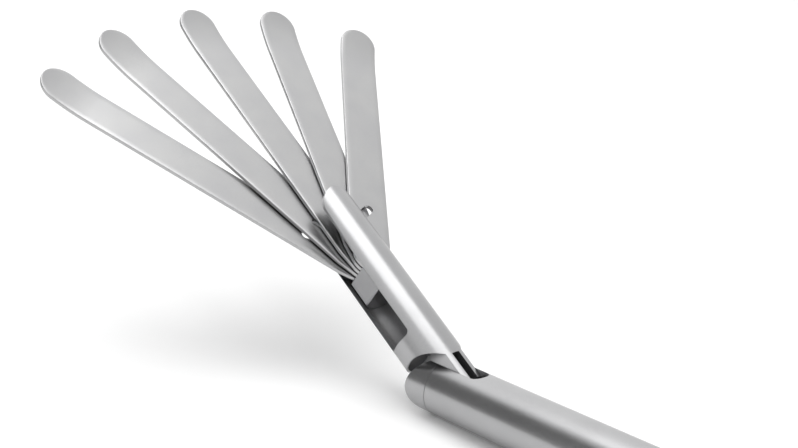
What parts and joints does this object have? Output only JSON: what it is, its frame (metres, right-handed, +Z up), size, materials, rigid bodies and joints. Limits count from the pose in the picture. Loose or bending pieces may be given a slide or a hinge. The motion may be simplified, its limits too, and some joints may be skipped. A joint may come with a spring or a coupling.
{
  "type": "fan retractor",
  "caption": "Keyhole-surgery fan retractor with flat blades that fan out from an angled head on a slim shaft and in-line handle.",
  "frame": {"origin": "centre of the handle's flat end face, on the shaft's axis", "axes": "+X out of the handle's end face, so the fan is at -X; +Z up, the side to which the head bends; +Y across, to the side of the highest blade"},
  "size_m": [0.4873, 0.0769, 0.0664],
  "materials": {
    "satin_steel": "satin, fine brushing along the piece",
    "bright_steel": "polished",
    "blade_steel": "satin, glass-bead blasted",
    "bearing_polymer": "turned, matt",
    "seal_silicone": "moulded, matt"
  },
  "bodies": {
    "shaft_and_handle": {"shaft_nose": "satin_steel", "shaft_tube": "satin_steel", "hinge_pin_1": "bright_steel", "hinge_pin_2": "bright_steel", "collar_nut": "bright_steel", "handle_front": "satin_steel", "handle_grip": "satin_steel", "end_cap": "satin_steel", "core_tube": "satin_steel", "shaft_seal": "seal_silicone", "angle_washer_front": "bearing_polymer", "angle_washer_rear": "bearing_polymer", "fan_washer_front": "bearing_polymer", "fan_washer_rear": "bearing_polymer", "set_screw_1": "satin_steel", "set_screw_2": "satin_steel", "set_screw_3": "satin_steel"},
    "bending_head": {"head": "satin_steel", "guide_pin": "bright_steel", "crank_pin": "bright_steel"},
    "carriage": {"drive_block": "satin_steel", "pivot_pin": "bright_steel", "cable_ferrule": "bright_steel", "drive_cable": "bright_steel", "blade_3": "blade_steel"},
    "lowest_blade": {"blade_1": "blade_steel"},
    "second_blade": {"blade_2": "blade_steel"},
    "fourth_blade": {"blade_4": "blade_steel"},
    "highest_blade": {"blade_5": "blade_steel"},
    "angle_rod": {"angle_yoke": "satin_steel", "angle_tube": "satin_steel", "angle_carrier": "satin_steel", "angle_drive_pin_1": "satin_steel", "angle_drive_pin_2": "satin_steel"},
    "angle_knob": {"angle_wheel": "bright_steel"},
    "fan_rod": {"drive_rod": "bright_steel", "fan_carrier": "satin_steel", "fan_drive_pin_1": "satin_steel", "fan_drive_pin_2": "satin_steel"},
    "fan_knob": {"fan_wheel": "bright_steel"}
  },
  "joints": [
    {"name": "head_bend", "type": "hinge", "parent": "shaft_and_handle", "child": "bending_head", "pos_m": [-0.41, 0, 0], "axis": [0, 1, 0], "range_deg": [-34.1, 35.9]},
    {"name": "fan_slide", "type": "slide", "parent": "bending_head", "child": "carriage", "axis": [0.8281, 0, -0.5606], "range_m": [0, 0.009], "deforming": ["drive_cable"]},
    {"name": "lowest_blade_turn", "type": "hinge", "parent": "carriage", "child": "lowest_blade", "pos_m": [-0.43391, 0, 0.01619], "axis": [0.5606, 0, 0.8281], "range_deg": [-34.5, 0]},
    {"name": "second_blade_turn", "type": "hinge", "parent": "carriage", "child": "second_blade", "pos_m": [-0.43391, 0, 0.01619], "axis": [0.5606, 0, 0.8281], "range_deg": [-18.5, 0]},
    {"name": "fourth_blade_turn", "type": "hinge", "parent": "carriage", "child": "fourth_blade", "pos_m": [-0.43391, 0, 0.01619], "axis": [0.5606, 0, 0.8281], "range_deg": [0, 17]},
    {"name": "highest_blade_turn", "type": "hinge", "parent": "carriage", "child": "highest_blade", "pos_m": [-0.43391, 0, 0.01619], "axis": [0.5606, 0, 0.8281], "range_deg": [0, 34]},
    {"name": "angle_rod_slide", "type": "slide", "parent": "shaft_and_handle", "child": "angle_rod", "axis": [1, 0, 0], "range_m": [-0.00175, 0.00175]},
    {"name": "angle_knob_turn", "type": "hinge", "parent": "shaft_and_handle", "child": "angle_knob", "pos_m": [-0.115, 0, 0], "axis": [1, 0, 0], "range_deg": [-375, 395]},
    {"name": "fan_rod_slide", "type": "slide", "parent": "shaft_and_handle", "child": "fan_rod", "axis": [1, 0, 0], "range_m": [0, 0.009]},
    {"name": "fan_knob_turn", "type": "hinge", "parent": "shaft_and_handle", "child": "fan_knob", "pos_m": [-0.026, 0, 0], "axis": [1, 0, 0], "range_deg": [-1080, 0]}
  ],
  "couplings": [
    {"joint": "lowest_blade_turn", "follows": "fan_slide", "rad_per_m": -66.9},
    {"joint": "second_blade_turn", "follows": "fan_slide", "rad_per_m": -35.87},
    {"joint": "fourth_blade_turn", "follows": "fan_slide", "rad_per_m": 32.96},
    {"joint": "highest_blade_turn", "follows": "fan_slide", "rad_per_m": 65.93},
    {"joint": "fan_rod_slide", "follows": "fan_slide", "ratio": 1},
    {"joint": "fan_knob_turn", "follows": "fan_slide", "rad_per_m": -2094.3},
    {"joint": "angle_rod_slide", "follows": "head_bend", "m_per_rad": -0.0026},
    {"joint": "angle_knob_turn", "follows": "head_bend", "ratio": 10.89}
  ]
}
